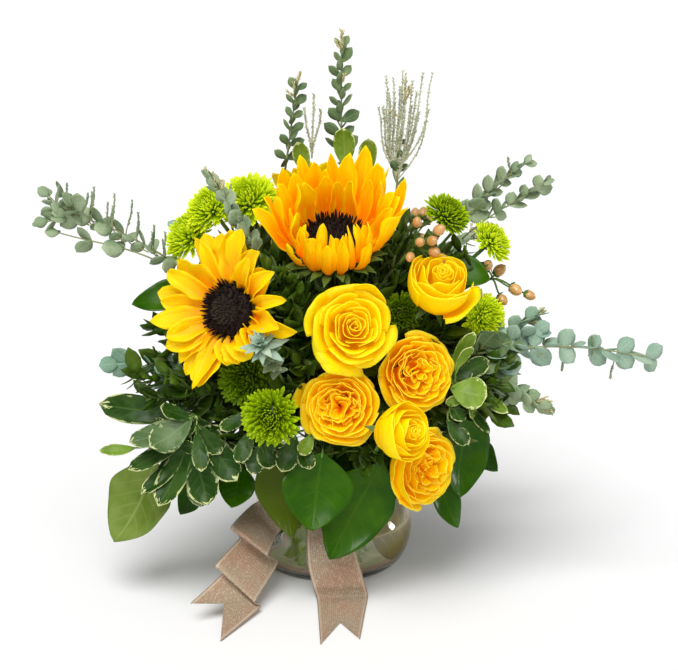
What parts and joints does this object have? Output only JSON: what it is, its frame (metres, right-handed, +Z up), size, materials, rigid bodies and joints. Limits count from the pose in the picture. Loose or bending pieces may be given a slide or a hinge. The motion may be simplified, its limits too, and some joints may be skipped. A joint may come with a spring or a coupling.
{
  "type": "flower arrangement in a glass bowl",
  "caption": "Arrangement of sunflowers, yellow roses, green chrysanthemums, berries and mixed greenery, standing in a squat glass bowl with a woven ribbon round its neck.",
  "frame": {"origin": "middle of the bowl's flat underside", "axes": "+Z up along the bowl's axis, front of the arrangement towards -Y, +X to the right seen from the front"},
  "size_m": [0.532, 0.3413, 0.487],
  "materials": {
    "clear_glass": "clear, smooth, slightly green",
    "woven_ribbon": "open metallic weave with wired edges",
    "green_stem": "matte green stems",
    "sunflower_petal": "satin yellow, orange towards the foot",
    "sunflower_disc": "matte dark brown florets",
    "rose_petal": "satin golden yellow",
    "mum_lime": "soft lime green",
    "berry_peach": "glossy peach brown",
    "eucalyptus_leaf": "matte grey green",
    "broad_leaf": "glossy dark green",
    "variegated_leaf": "satin green with a cream edge",
    "fern_leaf": "matte dark green"
  },
  "bodies": {
    "root": {"berries_back": "berry_peach", "berries_far_right": "berry_peach", "berries_right": "berry_peach", "broad_back": "broad_leaf", "broad_front": "broad_leaf", "broad_left_low": "broad_leaf", "broad_left_top": "broad_leaf", "broad_right_low": "broad_leaf", "broad_right_top": "broad_leaf", "eucalyptus_back_left": "eucalyptus_leaf", "eucalyptus_back_low": "eucalyptus_leaf", "eucalyptus_back_right": "eucalyptus_leaf", "eucalyptus_far_left": "eucalyptus_leaf", "eucalyptus_low_left": "eucalyptus_leaf", "eucalyptus_mid_left": "eucalyptus_leaf", "eucalyptus_right": "eucalyptus_leaf", "eucalyptus_right_low": "eucalyptus_leaf", "eucalyptus_right_mid": "eucalyptus_leaf", "eucalyptus_right_top": "eucalyptus_leaf", "eucalyptus_top": "eucalyptus_leaf", "eucalyptus_top_left": "eucalyptus_leaf", "eucalyptus_top_right": "eucalyptus_leaf", "eucalyptus_tuft": "eucalyptus_leaf", "fern_back": "fern_leaf", "fern_front": "fern_leaf", "glass_bowl": "clear_glass", "mum_back": "mum_lime", "mum_deep": "mum_lime", "mum_front": "mum_lime", "mum_front_deep": "mum_lime", "mum_left": "mum_lime", "mum_right_far": "mum_lime", "mum_right_low": "mum_lime", "mum_right_top": "mum_lime", "mum_top": "mum_lime", "mum_top_left": "mum_lime", "ribbon_band": "woven_ribbon", "ribbon_tail_left": "woven_ribbon", "ribbon_tail_right": "woven_ribbon", "rose_back_left": "rose_petal", "rose_back_right": "rose_petal", "rose_bud": "rose_petal", "rose_low": "rose_petal", "rose_lower_left": "rose_petal", "rose_middle": "rose_petal", "rose_side": "rose_petal", "rose_upper": "rose_petal", "stems": "green_stem", "sunflower_back_disc": "sunflower_disc", "sunflower_back_petals": "sunflower_petal", "sunflower_left_disc": "sunflower_disc", "sunflower_left_petals": "sunflower_petal", "sunflower_top_disc": "sunflower_disc", "sunflower_top_petals": "sunflower_petal", "variegated_back": "variegated_leaf", "variegated_front_left": "variegated_leaf", "variegated_left": "variegated_leaf", "variegated_right": "variegated_leaf", "variegated_top": "variegated_leaf"}
  },
  "joints": []
}
